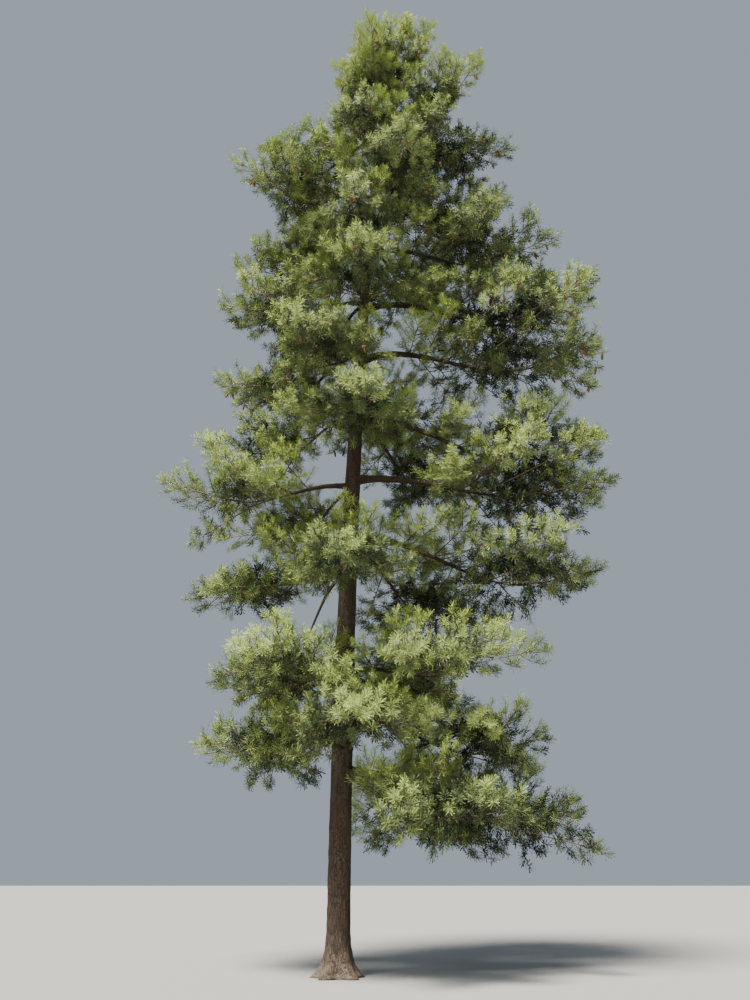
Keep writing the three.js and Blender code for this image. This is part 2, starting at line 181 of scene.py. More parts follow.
def toward(degrees):
    return np.array([math.cos(math.radians(degrees)), math.sin(math.radians(degrees)), 0.0])


def rising(out, degrees):
    return out * math.cos(math.radians(degrees)) + up * math.sin(math.radians(degrees))


def trunk_axis(z):
    z = np.asarray(z, float)
    lean = lean_at_top * (np.maximum(z, 0) / taper_height) ** lean_power
    return np.stack([lean, np.zeros_like(z), z], axis=-1)


def trunk_radius(z):
    return top_radius + butt_radius * (1 - (np.maximum(z, 0) / taper_height) ** taper_power)


def beside_trunk(points):
    """How far points lie from the trunk's axis."""
    axis = trunk_axis(points[:, 2])
    return np.hypot(points[:, 0] - axis[:, 0], points[:, 1] - axis[:, 1])


def point_on(curve, t):
    t = np.asarray(t, float)[..., None]
    s = 1 - t
    return s**3 * curve[0] + 3 * s * s * t * curve[1] + 3 * s * t * t * curve[2] + t**3 * curve[3]


def across_from(along):
    """The level direction across a line, or forward where the line is nearly upright."""
    across = np.cross(along, up)
    steep = np.linalg.norm(across, axis=-1, keepdims=True) < nearly_upright
    return unit(np.where(steep, forward, across))


def frame_at(curve, t):
    """The point at each share t of a curve, and the directions along, across and above it."""
    t = np.asarray(t, float)
    before, after = np.maximum(t - small_step, 0), np.minimum(t + small_step, 1)
    along = unit(point_on(curve, after) - point_on(curve, before))
    across = across_from(along)
    return point_on(curve, t), along, across, np.cross(across, along)


def length_of(curve):
    points = point_on(curve, np.linspace(0, 1, length_samples))
    return np.linalg.norm(np.diff(points, axis=0), axis=1).sum()


print("trunk top leans", round(float(trunk_axis(trunk_top)[0]), 2), "m to the right")

# %% [markdown]
# Each arm leaves the trunk at its tier's pitch and most end upturned, like real boughs that grew towards
# the light. Its mass keeps to an egg-shaped space round its outer part, which is thicker on a long arm.

# %% Lay out the arms
straight_root = 0.36
straight_end = 0.34
bough_taper = 0.34
radius_per_reach = 0.0165
least_root_radius = 0.022
stem_tip_radius = 0.009
least_inner = 0.24
width_per_reach = 0.56
width_in_sector = 0.7
widest_sector = 50
least_width = 0.85
space_margin = 0.15
plume_length = 1.48
plume_radius = 0.45
tip_plume = plume_length * 0.93
long_reach = 3.9
tier_seed = 100
seeds_per_tier = 20
lean_sample = 0.5
leader_straight = 0.35
leader_root = 0.85


def arm_curve(arm):
    out = toward(arm["azimuth"])
    end = rising(out, arm["lift"])
    root = trunk_axis(arm["height"])
    tip = root + out * arm["reach"] - up * arm["fall"] - end * tip_plume * arm["scale"]
    length = np.linalg.norm(tip - root)
    shoulder = root + rising(out, arm["pitch"]) * length * straight_root
    return np.array([root, shoulder, tip - end * length * straight_end, tip])


def mass_space(start, end, width, thick):
    along = unit(end - start)
    across = across_from(along)
    axes = np.array([along, across, np.cross(across, along)])
    halves = np.array([np.linalg.norm(end - start) / 2 + space_margin, width, thick])
    return dict(centre=(start + end) / 2, axes=axes, halves=halves)


def depth_in(space, points):
    """How far out points lie in a space, where 1 is its skin."""
    return np.linalg.norm((points - space["centre"]) @ space["axes"].T / space["halves"], axis=-1)


def complete_arm(arm):
    curve = arm_curve(arm)
    inner = max(arm["bare"], arm.get("inner", least_inner))
    sector = math.tan(math.radians(min(arm["sector"], widest_sector)))
    room = min(width_per_reach, width_in_sector * sector)
    width = arm.get("width", max(least_width, arm["reach"] * room))
    tip, along, _, _ = frame_at(curve, 1)
    bulk = max(1, arm["reach"] / long_reach)
    end = tip + along * tip_plume * arm["scale"]
    space = mass_space(point_on(curve, inner), end, width, arm["thick"] * bulk)
    root_radius = max(least_root_radius, arm["reach"] * radius_per_reach)
    return dict(arm, curve=curve, inner=inner, root_radius=root_radius, space=space, width=width, bulk=bulk)


def lay_out_arms():
    arms = []
    for level, tier in enumerate(tiers):
        draw = seeded_random(tier_seed + level)
        jitter = lambda most: (draw() * 2 - 1) * most
        left, right, front, back = tier["reach"]
        for i in range(tier["arms"]):
            azimuth = tier["turn"] + tier.get("step", 360 / tier["arms"]) * i + jitter(azimuth_jitter)
            if math.sin(math.radians(azimuth)) > least_backward:
                azimuth += tier.get("skew", 0)
            c, s, _ = toward(azimuth)
            spread = math.hypot(c / (right if c > 0 else left), s / (back if s > 0 else front))
            reach = (1 + jitter(reach_jitter)) / spread
            height = tier["height"] + jitter(height_jitter)
            bare = tier.get("bare", 0) if i % tier.get("bare_every", 1) == 0 else 0
            arms.append(dict(
                tier, name=f"{tier['name']}_{i + 1}", seed=level * seeds_per_tier + i,
                sector=180 / tier["arms"], azimuth=azimuth, reach=reach, height=height, bare=bare,
                scale=tier.get("scale", 1),
            ))
    return [complete_arm(arm) for arm in arms + [hanging_bough]]


def lay_out_leader():
    lean = unit(trunk_axis(trunk_top) - trunk_axis(trunk_top - lean_sample))
    root = trunk_axis(trunk_top - leader["depth"])
    rise = leader["rise"] - tip_plume * leader["scale"]
    tip = root + lean * rise + np.array([leader["lean"], 0, 0])
    straight = lean * rise * leader_straight
    spread = leader["spread"]
    return dict(
        leader, name="leader", height=trunk_top, reach=leader["rise"], width=spread, bare=0, bulk=1,
        curve=np.array([root, root + straight, tip - straight, tip]),
        space=mass_space(root, tip + lean * tip_plume * leader["scale"], spread, spread),
        root_radius=trunk_radius(trunk_top) * leader_root,
    )


arms = lay_out_arms() + [lay_out_leader()]
print("arms", len(arms), "longest", round(max(arm["reach"] for arm in arms), 2), "m")

# %% [markdown]
# Plumes are an arm's bushy shoots: one at its tip, pairs that slant to both sides, and crests on top, every
# other one of which hangs below on a long arm. A plume grows where a few balls show that there is room. The
# arms grow in turn, one shoot at a time, so that none takes its neighbour's room.

# %% Grow the plumes
twig_radius = 0.016
least_twig = 0.42
upright_height = 17.4
shrink_steps = (1, 0.84, 0.68, 0.6)
sibling_room = 0.95
side_pairs = 3
tip_shoot_at = 0.93
last_shoot_at = 0.94
first_step = 0.55
shoot_seed = 7
tip_rise = 0.18
tip_sizes = (0.95, 1.08)
side_slants = (64, 38)
slant_jitter = 8
side_tilts = (0.05, 0.4)
third_lowered = 0.3
side_sizes = (0.85, 1.05)
outline_fill = 0.9
crest_ahead = (0.5, 1)
crest_aside = (-0.3, 0.3)
crest_up = (0.7, 1)
crest_sizes = (0.7, 0.9)
hanging_slope = -0.8
space_stretch = 1.22
ball_spacing = 0.11
twig_ball_spacing = 0.096
limb_room = 0.012
twig_room = 0.008
trunk_room = 0.01
plume_balls = [(0.1, 0.14), (0.25, 0.42), (0.43, 0.74), (0.69, 0.93), (0.9, 0.4)]
outer_from = 0.4
gap = 0.0003
gap_step = 0.001
cone_height = 11.0
cone_at = 0.86
cone_space = 0.33
cone_ball_at = 0.7
cone_room = 0.096
cone_lean = 0.15


def shoots_of(arm):
    draw = seeded_random(arm["seed"] + shoot_seed)
    vary = lambda least, most: between(least, most, draw())
    point, along, across, _ = frame_at(arm["curve"], tip_shoot_at)
    shoots = []

    def add(root, along, across, size, twig=0):
        shoots.append(dict(root=root, along=along, across=across, size=size, twig=twig))

    add(point, unit(along + up * tip_rise), across, vary(*tip_sizes))
    pairs = side_pairs + (arm["reach"] > long_reach)
    if arm["height"] > upright_height:
        pairs = side_pairs - 1

    def place_of(i):
        share = 1 - (i + first_step) / (pairs * 2)
        return share, *frame_at(arm["curve"], between(arm["inner"], last_shoot_at, share))

    for i in range(pairs * 2):
        share, point, along, across, above = place_of(i)
        slant = math.radians(between(*side_slants, share) + vary(-slant_jitter, slant_jitter))
        tilt = vary(*side_tilts) - (third_lowered if i % 3 == 1 else 0)
        side = math.sin(slant) * (1 if i % 2 else -1)
        direction = unit(along * math.cos(slant) + across * side + above * tilt)
        size = vary(*side_sizes)
        outline = arm["width"] * math.sqrt(1 - (2 * share - 1) ** 2) * outline_fill
        add(point, direction, above, size, max(0, outline / math.sin(slant) - plume_length * size))
    for i in range(pairs):
        _, point, along, across, _ = place_of(i * 2 + 0.5)
        slope = hanging_slope if arm["bulk"] > 1 and i % 2 == 1 else 1
        ahead, aside = along * vary(*crest_ahead), across * vary(*crest_aside)
        crest = unit(ahead + aside + up * vary(*crest_up) * slope)
        add(point, crest, across, vary(*crest_sizes) * arm["bulk"])
    return shoots


def wood_sizes(arm):
    """Where an arm's bough and its stem start and end, as shares, and their radii there."""
    bare, root_radius = arm["bare"], arm["root_radius"]
    cut = root_radius * (1 - bare * (1 - bough_taper))
    near = point_on(arm["curve"], bare + gap_step) - point_on(arm["curve"], bare)
    start = bare + gap / (np.linalg.norm(near) / gap_step) if bare else 0
    return (0, bare, root_radius, cut), (start, 1, cut, stem_tip_radius)


def limb_balls(curve, start, end, root_radius, tip_radius):
    steps = math.ceil(length_of(curve) * (end - start) / ball_spacing)
    share = np.arange(steps + 1) / steps
    radii = between(root_radius, tip_radius, share) + limb_room
    return point_on(curve, between(start, end, share)), radii, np.zeros(steps + 1, bool)


def cone_place(plume):
    top = plume["root"] + plume["along"] * (plume["twig"] + cone_at * plume["length"])
    return top, unit(plume["along"] * cone_lean - up)


def plume_room(plume):
    """The balls that a plume fills: centres, radii, and which are in its outer part."""
    root, along, length, twig = (plume[key] for key in ("root", "along", "length", "twig"))
    balls = [(root + along * (twig + at * length), share * plume["radius"], at > outer_from)
             for at, share in plume_balls]
    at = twig_ball_spacing
    while at < twig:
        balls.append((root + along * at, twig_radius + twig_room, False))
        at += twig_ball_spacing
    if plume["has_cone"]:
        top, down = cone_place(plume)
        balls.append((top + down * cone_space * cone_ball_at, cone_room, False))
    return tuple(np.array(column) for column in zip(*balls))


class Room:
    """The balls taken so far, each with its owner. Owner -1 is a bough."""

    def __init__(self):
        self.balls = np.zeros((0, 3)), np.zeros(0), np.zeros(0, bool), np.zeros(0, int)

    def take(self, balls, owner):
        more = (*balls, np.full(len(balls[0]), owner))
        self.balls = tuple(np.concatenate(column) for column in zip(self.balls, more))

    def is_free(self, balls, owner):
        centres, radii, outer = balls
        taken_centres, taken_radii, taken_outer, owners = self.balls
        height = centres[:, 2]
        near = beside_trunk(centres) < trunk_radius(height) + radii + trunk_room
        if np.any(near & (height <= trunk_top + radii)):
            return False
        distance = np.linalg.norm(centres[:, None] - taken_centres, axis=2)
        sums = radii[:, None] + taken_radii
        siblings = ~outer[:, None] | ~taken_outer | (distance > sums * sibling_room)
        return np.all(np.where(owners == owner, siblings, distance > sums))


def grow_plumes():
    room = Room()
    for owner, arm in enumerate(arms):
        bough, stem = wood_sizes(arm)
        if arm["bare"]:
            room.take(limb_balls(arm["curve"], *bough), -1)
        room.take(limb_balls(arm["curve"], *stem), owner)
        arm["plumes"] = []
    wanted = [shoots_of(arm) for arm in arms]
    for turn in range(max(len(shoots) for shoots in wanted)):
        for owner, arm in enumerate(arms):
            if turn < len(wanted[owner]):
                place_shoot(arm, owner, wanted[owner][turn], room)


def place_shoot(arm, owner, shoot, room):
    for size in (shrink * shoot["size"] * arm["scale"] for shrink in shrink_steps):
        twig = shoot["twig"] * size if shoot["twig"] * size > least_twig else 0
        has_cone = arm["height"] > cone_height and not arm["plumes"]
        length, radius = plume_length * size, plume_radius * size
        plume = dict(shoot, length=length, radius=radius, twig=twig, has_cone=has_cone)
        balls = plume_room(plume)
        tip = plume["root"] + plume["along"] * (twig + plume["length"])
        if depth_in(arm["space"], tip) < space_stretch and room.is_free(balls, owner):
            room.take(balls, owner)
            arm["plumes"].append(plume)
            return


grow_plumes()
print("plumes", sum(len(arm["plumes"]) for arm in arms))

# %% [markdown]
# Bark on a grown pine breaks into upright plates with dark cracks. The relief is real here: two displace
# modifiers press a cell pattern and a finer cloud pattern into a squat cylinder of many rings, and
# stretching it to full height makes the cells upright. Then its rings get the taper, lean and root flare.

# %% Helpers for modelling
def only(piece):
    """Selects one piece alone and makes it active."""
    bpy.ops.object.select_all(action="DESELECT")
    piece.select_set(True)
    bpy.context.view_layer.objects.active = piece


def ring_cylinder(name, sides, radius, height, rings):
    """An upright cylinder on the origin, with its sides cut into rings."""
    middle = (0, 0, height / 2)
    bpy.ops.mesh.primitive_cylinder_add(vertices=sides, radius=radius, depth=height, location=middle)
    piece = bpy.context.object
    piece.name = piece.data.name = name
    bpy.ops.object.transform_apply()
    bpy.ops.object.mode_set(mode="EDIT")
    bpy.ops.mesh.select_all(action="DESELECT")
    bpy.ops.mesh.select_mode(type="EDGE")
    edges = bmesh.from_edit_mesh(piece.data)
    for edge in edges.edges:
        low, high = edge.verts
        edge.select_set(abs(low.co.z - high.co.z) > height / 2)
    bmesh.update_edit_mesh(piece.data)
    bpy.ops.mesh.subdivide(number_cuts=rings - 1)
    bpy.ops.object.mode_set(mode="OBJECT")
    return piece


def corners_of(piece):
    corners = np.zeros(len(piece.data.vertices) * 3)
    piece.data.vertices.foreach_get("co", corners)
    return corners.reshape(-1, 3)


def put_corners(piece, corners):
    piece.data.vertices.foreach_set("co", corners.ravel())
    piece.data.update()


def press_in(piece, name, kind, size, strength):
    """Applies one displace modifier with a procedural pattern."""
    pattern = bpy.data.textures.new(name, kind)
    pattern.noise_scale = size
    relief = piece.modifiers.new(name, "DISPLACE")
    relief.texture = pattern
    relief.strength = strength
    only(piece)
    bpy.ops.object.modifier_apply(modifier=name)


def copy_of(model):
    piece = link(model.copy())
    piece.data = model.data.copy()
    return piece


def joined(pieces, name):
    """Joins pieces to one, with its faces turned outward."""
    only(pieces[0])
    for piece in pieces:
        piece.select_set(True)
    bpy.ops.object.join()
    result = bpy.context.object
    result.name = result.data.name = name
    bpy.ops.object.mode_set(mode="EDIT")
    bpy.ops.mesh.select_all(action="SELECT")
    bpy.ops.mesh.normals_make_consistent(inside=False)
    bpy.ops.object.mode_set(mode="OBJECT")
    return result


def count_triangles(piece):
    return len(piece.data.loops) - 2 * len(piece.data.polygons)


print("helpers ready")

# %% Trunk
squat = 0.4
trunk_sides = 90
trunk_rings = 520
crowding = 1.35
plate_relief = (0.05, 0.018)
crumb_relief = (0.03, 0.016)


def model_trunk():
    trunk = ring_cylinder("trunk_bark", trunk_sides, butt_radius, trunk_top * squat, trunk_rings)
    corners = corners_of(trunk)
    share = corners[:, 2] / (trunk_top * squat)
    corners[:, 2] = trunk_top * squat * share**crowding
    put_corners(trunk, corners)
    press_in(trunk, "plates", "VORONOI", *plate_relief)
    press_in(trunk, "crumbs", "CLOUDS", *crumb_relief)
    corners = corners_of(trunk)
    z = np.clip(corners[:, 2] / squat, 0, trunk_top)
    share = np.hypot(corners[:, 0], corners[:, 1]) / butt_radius
    angle = np.arctan2(corners[:, 1], corners[:, 0])
    lobes = 1 - flare_lobes + flare_lobes * np.cos(flare_roots * (angle - flare_turn))
    flare = 1 + (flare_spread / butt_radius) * lobes * np.exp(-z / flare_height)
    radius = share * trunk_radius(z) * flare
    axis = trunk_axis(z)
    put_corners(trunk, np.stack([axis[:, 0] + radius * np.cos(angle), radius * np.sin(angle), z], axis=1))
    trunk.data.shade_smooth()
    return trunk


trunk = model_trunk()
print("trunk triangles", count_triangles(trunk), "top", round(max(c[2] for c in corners_of(trunk)), 2))

# %% [markdown]
# An arm is a long limb that tapers from a collar at the trunk to a thin tip. One limb is modelled with its
# bark relief as a straight rod, and each arm gets a copy that is bent along its curve. The arms that show
# bare are joined as boughs, and the rest as the stems of the masses.

# %% Boughs and stems
limb_sides = 10
limb_rings = 42
limb_height = 12.0
limb_relief = (0.7, 0.5)
limb_start = 0.02
limb_tip = 0.6
limb_taper = 0.8
collar_reach = 0.05
collar_swell = 0.55


def model_limb():
    limb = ring_cylinder("limb_model", limb_sides, 1.0, limb_height, limb_rings)
    press_in(limb, "limb_plates", "CLOUDS", *limb_relief)
    corners = corners_of(limb)
    corners[:, 2] = np.clip(corners[:, 2] / limb_height, 0, 1)
    put_corners(limb, corners)
    limb.data.shade_smooth()
    return limb


def bent_limb(model, arm):
    limb = copy_of(model)
    corners = corners_of(limb)
    share = corners[:, 2]
    point, _, across, above = frame_at(arm["curve"], between(limb_start / arm["reach"], 1, share))
    collar = 1 + collar_swell * np.exp(-share / collar_reach)
    radius = between(arm["root_radius"], stem_tip_radius * limb_tip, share**limb_taper) * collar
    put_corners(limb, point + (corners[:, :1] * across + corners[:, 1:2] * above) * radius[:, None])
    return limb


limb_model = model_limb()
bough_limbs = joined([bent_limb(limb_model, arm) for arm in arms if arm["bare"]], "bough_limbs")
mass_stems = joined([bent_limb(limb_model, arm) for arm in arms if not arm["bare"]], "mass_stems")
bpy.data.objects.remove(limb_model)
print("bough triangles", count_triangles(bough_limbs), "stem triangles", count_triangles(mass_stems))

# %% [markdown]
# The solids stop at plumes. Here a plume goes on to finer twigs: an axis that turns up at its end, side
# twigs round it, and on each twig the short needled shoots of the last years. Smaller axes rise from the
# stems, and some hang below long ones, so that each mass is filled evenly up to its skin. Thousands of
# shoots are best worked out together, so they are rows of arrays, with one seeded generator.

# %% Grow the twigs and shoots
golden_angle = math.radians(137.508)
whole_turn = 6.28
chance = np.random.default_rng(20)
axis_turn_up = 0.07
axis_reach = 0.95
fillers_per_metre = 3.6
first_filler = 0.12
last_filler = 0.99
filler_slants = (66, 30)
filler_sides = (0.5, 1.0)
filler_rises = (0.15, 0.85)
filler_drops = (-0.75, -0.15)
filler_skin = 0.93
filler_lengths = (0.35, 1.25)
filler_radius = 0.4
side_twigs = 18
least_side_twigs = 3
side_twig_places = (0.05, 0.95)
side_twig_slants = (66, 34)
side_twig_lengths = (0.7, 1.05)
side_twig_turn_up = 0.45
plume_bulge = (0.16, 0.74, 0.7)
plume_spread = 1.25
shoots_on_twig = (0.45, 0.65, 0.83, 1.0)
shoot_places = (0.9, 1.0)
shoot_leans = (0.8, 1.4)
shoot_turn_up = 0.55
# Where shoots stand on an axis, and how far they lean from it by chance.
shoots_on_axis = {0.88: 0.35, 1.0: 0.05}
axis_shoot_turn_up = 0.2
shoot_length = 0.085
shoot_lengths = (0.75, 1.2)
axis_shoot_lengths = (0.9, 1.2)
shoot_spacing = 0.125
shoot_keep_out = 1.22
box_slack = 0.06
trunk_slack = 0.11


def any_in(low, high, count):
    return between(low, high, chance.random(count))


def any_side(along):
    """A chance direction square to each line."""
    return unit(np.cross(along, chance.normal(size=along.shape)))


def fanned(turn, side, other):
    """Directions at each turn round a line, from two sides of it."""
    return np.cos(turn)[:, None] * side + np.sin(turn)[:, None] * other


def bulge(share, start, run, power):
    """The outline of a spindle, from a sine wave. A lower power makes it fuller."""
    return np.sin(np.pi * (start + run * share)) ** power


def skin_distance(space, point, direction):
    """How far a ray from inside a space runs to its skin."""
    start = (point - space["centre"]) @ space["axes"].T / space["halves"]
    step = direction @ space["axes"].T / space["halves"]
    a, b, c = step @ step, start @ step, start @ start - filler_skin**2
    return (-b + math.sqrt(b * b - a * c)) / a if b * b > a * c else 0.0


def fillers_of(arm):
    """Small axes from an arm's stem to the skin of its space, some downwards on a long arm."""
    found = []
    first = max(arm["inner"], first_filler)
    count = math.ceil(length_of(arm["curve"]) * (1 - first) * fillers_per_metre)
    for i in range(count):
        share = (i + chance.random()) / count
        point, along, across, above = frame_at(arm["curve"], between(first, last_filler, share))
        slant = math.radians(between(*filler_slants, share))
        side = math.sin(slant) * (1 if i % 2 else -1) * any_in(*filler_sides, 1)[0]
        drops = arm["bulk"] > 1 and i % 3 == 2
        rise = any_in(*(filler_drops if drops else filler_rises), 1)[0]
        direction = unit(along * math.cos(slant) + across * side + above * rise)
        length = skin_distance(arm["space"], point, direction) - shoot_length
        if length < filler_lengths[0]:
            continue
        length = min(length, filler_lengths[1])
        found.append(dict(root=point, along=direction, across=across, length=length, twig=0,
                          radius=filler_radius * arm["scale"]))
    return found


def picked(table, which):
    return {key: value[which] for key, value in table.items()}


def plume_rows():
    """All axes as arrays, in the arms' order."""
    keys = ("root", "along", "across", "length", "radius", "twig")
    owned = [(i, axis) for i, arm in enumerate(arms) for axis in arm["plumes"] + fillers_of(arm)]
    rows = {key: np.array([axis[key] for _, axis in owned], float) for key in keys}
    rows["length"] = rows["length"] * axis_reach
    rows["total"] = rows["twig"] + rows["length"]
    rows["owner"] = np.array([i for i, _ in owned])
    side = rows["across"] - rows["along"] * np.sum(rows["across"] * rows["along"], axis=1, keepdims=True)
    rows["side"] = unit(side)
    rows["above"] = np.cross(rows["side"], rows["along"])
    return rows


def on_axis(axes, share):
    """A point on each axis, and the axis's direction there. An axis turns up towards its tip."""
    lift = axis_turn_up * axes["length"]
    point = axes["root"] + axes["along"] * (axes["total"] * share)[:, None]
    point = point + up * (lift * share**2)[:, None]
    direction = axes["along"] * axes["total"][:, None] + up * (2 * lift * share)[:, None]
    return point, unit(direction)


def grow_side_twigs(rows):
    """Longer axes carry more side twigs, so the shoots stand evenly close."""
    count = len(rows["root"])
    wanted = np.round(side_twigs * rows["length"] / plume_length)
    wanted = np.maximum(least_side_twigs, wanted).astype(int)
    index = np.repeat(np.arange(count), wanted)
    number = np.concatenate([np.arange(n) for n in wanted])
    axes = picked(rows, index)
    place = (number + chance.random(len(index))) / wanted[index]
    share = (axes["twig"] + between(*side_twig_places, place) * axes["length"]) / axes["total"]
    root, direction = on_axis(axes, share)
    turn = number * golden_angle + (chance.random(count) * whole_turn)[index]
    slant = np.radians(between(*side_twig_slants, place))
    sideways = fanned(turn, axes["side"], axes["above"])
    start = unit(np.cos(slant)[:, None] * direction + np.sin(slant)[:, None] * sideways)
    outline = bulge(place, *plume_bulge) * axes["radius"] * plume_spread
    length = outline * any_in(*side_twig_lengths, len(index))
    end = unit(start + up * side_twig_turn_up)
    twigs = dict(index=index, root=root, start=start, end=end, length=length)
    return kept(twigs, on_twig(twigs, 1.0), axes["owner"])


def on_twig(twigs, share):
    """A point on each side twig. A twig bends evenly from its first direction to its last."""
    bend = (twigs["end"] - twigs["start"]) * (twigs["length"] * share**2 / 2)[:, None]
    return twigs["root"] + twigs["start"] * (twigs["length"] * share)[:, None] + bend


def grow_shoots(rows, twigs):
    groups = []
    count = len(twigs["root"])
    for place in shoots_on_twig:
        share = place * any_in(*shoot_places, count)
        along = unit(twigs["start"] * (1 - share)[:, None] + twigs["end"] * share[:, None])
        lean = np.zeros(count) if place == 1.0 else any_in(*shoot_leans, count)
        direction = unit(along + any_side(along) * lean[:, None] + up * shoot_turn_up)
        length = shoot_length * any_in(*shoot_lengths, count)
        groups.append((on_twig(twigs, share), direction, length, twigs["index"]))
    ends = np.arange(len(rows["root"]))
    for place, sway in shoots_on_axis.items():
        point, direction = on_axis(rows, place)
        lean = chance.normal(size=direction.shape) * sway
        length = shoot_length * any_in(*axis_shoot_lengths, len(ends))
        groups.append((point, unit(direction + lean + up * axis_shoot_turn_up), length, ends))
    point, direction, length, plume = (np.concatenate(column) for column in zip(*groups))
    owner = rows["owner"][plume]
    shoots = dict(root=point, along=direction, length=length, owner=owner)
    return kept(shoots, point + direction * length[:, None], owner)


def owned_rows(owner):
    """For each arm, which rows it owns, and its space."""
    return [(owner == number, arm["space"]) for number, arm in enumerate(arms)]


def kept(table, tip, owner):
    """Drops the rows whose tip leaves its mass's space or the solids' box, or touches the trunk."""
    depth = np.zeros(len(tip))
    for own, space in owned_rows(owner):
        depth[own] = depth_in(space, tip[own])
    height = tip[:, 2]
    clear = (beside_trunk(tip) > trunk_radius(height) + trunk_slack) | (height > trunk_top + trunk_slack)
    low, high = np.array(solids_box)
    within = np.all((tip > low - box_slack) & (tip < high + box_slack), axis=1)
    return picked({**table, "depth": depth}, clear & within & (depth < shoot_keep_out))


def spaced(shoots):
    """Keeps one shoot in each small cube of space. More would only hide one another."""
    middle = shoots["root"] + shoots["along"] * (shoots["length"] / 2)[:, None]
    cube = np.floor(middle / shoot_spacing).astype(int)
    _, first = np.unique(cube, axis=0, return_index=True)
    return picked(shoots, np.sort(first))


rows = plume_rows()
twigs = grow_side_twigs(rows)
shoots = spaced(grow_shoots(rows, twigs))
print("axes", len(rows["root"]), "side twigs", len(twigs["root"]), "shoots", len(shoots["root"]))

# %% [markdown]
# A tree has thousands of twigs that are all alike, so wood this thin is made as three-sided rods straight
# from arrays. Each rod starts on the middle line of the wood that carries it, and shoots run to a point.

# %% Twig meshes
axis_steps = 5
axis_end = 0.98
axis_taper = 0.75
twig_sides = 3
side_shares = (0, 0.5, 1)
side_radii = (0.009, 0.006, 0.003)
shoot_radius = 0.0045
steep_rod = 0.9


def mesh_from(name, corners, faces):
    mesh = bpy.data.meshes.new(name)
    mesh.vertices.add(len(corners))
    mesh.vertices.foreach_set("co", np.ascontiguousarray(corners, np.float32).ravel())
    mesh.loops.add(faces.size)
    mesh.loops.foreach_set("vertex_index", np.ascontiguousarray(faces, np.int32).ravel())
    mesh.polygons.add(len(faces))
    mesh.polygons.foreach_set("loop_start", np.arange(0, faces.size, faces.shape[1], dtype=np.int32))
    mesh.update(calc_edges=True)
    return link(bpy.data.objects.new(name, mesh))


def rings_round(along, side):
    """The ways from a rod's middle line to its corners."""
    turn = np.arange(twig_sides) * 2 * np.pi / twig_sides
    return fanned(turn, side[:, None], np.cross(along, side)[:, None])


def rods(point_at, shares, radii):
    """Corners and faces of rods, from their middle lines and radii at each share of their length."""
    points = np.stack([point_at(share) for share in shares], axis=1)
    along = unit(points[:, -1] - points[:, 0])
    side = unit(np.cross(along, np.where(np.abs(along[:, 2:]) > steep_rod, (1.0, 0.0, 0.0), up)))
    corners = points[:, :, None] + rings_round(along, side)[:, None] * radii[:, None, None]
    first = np.arange(corners.size // 3).reshape(len(points), -1, twig_sides)
    low, high = first[:, :-1], first[:, 1:]
    faces = np.stack([low, np.roll(low, -1, 2), np.roll(high, -1, 2), high], axis=-1)
    return corners.reshape(-1, 3), faces.reshape(-1, 4)


def shoot_spikes(shoots):
    """A three-sided spike for each shoot."""
    along = shoots["along"]
    foot = shoots["root"][:, None] + rings_round(along, any_side(along)) * shoot_radius
    tip = shoots["root"] + along * shoots["length"][:, None]
    corners = np.concatenate([foot, tip[:, None]], axis=1)
    first = np.arange(len(tip))[:, None, None] * 4
    faces = first + np.array([[0, 1, 3], [1, 2, 3], [2, 0, 3]])
    return corners.reshape(-1, 3), faces.reshape(-1, 3)


axis_shares = np.linspace(0, axis_end, axis_steps + 1)
axis_radii = twig_radius * (1 - axis_taper * axis_shares)
corners, faces = rods(lambda share: on_axis(rows, share)[0], axis_shares, axis_radii)
side_corners, side_faces = rods(lambda share: on_twig(twigs, share), side_shares, np.array(side_radii))
side_faces += len(corners)
twig_piece = mesh_from("twigs", np.vstack([corners, side_corners]), np.vstack([faces, side_faces]))
shoot_piece = mesh_from("shoots", *shoot_spikes(shoots))
print("twig triangles", count_triangles(twig_piece), "shoot triangles", count_triangles(shoot_piece))

# %% [markdown]
# Stiff needles in bundles of five stand out all round the end of a shoot, as a dense round brush. One slim
# three-cornered face here stands for a few needles, so it is larger than life. Most open out from their
# root as a bundle does, and every third ends in a point, so a brush is close at its heart and its edge.
# Their flat sides are turned out of the mass and up, to the light. The brushes are dealt out by shoot to a
# few plain greens, which are lit and shaded copies of one needle green: the lighter ones near the top and
# outside of each mass, and a few more on the sunnier left, are young growth with painted sunlight, and the
# darker, duller ones within and below are older needles in painted shade, with fewer and wider needles.

# %% Needles
needle_lengths = (0.078, 0.135)
needle_tilts = (105, 12)
needle_sway = 0.15
needle_turn_up = 0.1
flats_up = 0.5
flats_sway = 0.22
pointed_every = 3
# How many needles a brush of each tone has, and their widths added up.
brushes = {
    "fresh": (50, 0.42), "bright": (46, 0.43), "middle": (38, 0.46), "deep": (32, 0.52), "dull": (24, 0.6),
}
tone_edges = (0.8, 0.58, 0.36, 0.16)
tone_middle = 0.41
# Lighter on top and outside each mass: partly young growth, partly painted sunlight there and painted shade
# below and within.
young_and_sunlit_by_height = 0.34
young_and_sunlit_by_depth = 0.46
# Painted sunlight: the tone rises by this much for each metre to the left of the trunk.
painted_sun_to_left = 0.02
tone_jitter = 0.1
typical_depth = 0.6
bands = {
    "foot": ("skirt", "base", "low"),
    "lower": ("swag", "limb", "hanging"),
    "middle": ("arm", "middle"),
    "upper": ("upper", "crown"),
    "high": ("high", "shoulder"),
    "top": ("peak", "head", "leader"),
}


def band_of(name):
    tier = name.removeprefix("mass_").split("_")[0]
    return next(band for band, tiers_in in bands.items() if tier in tiers_in)


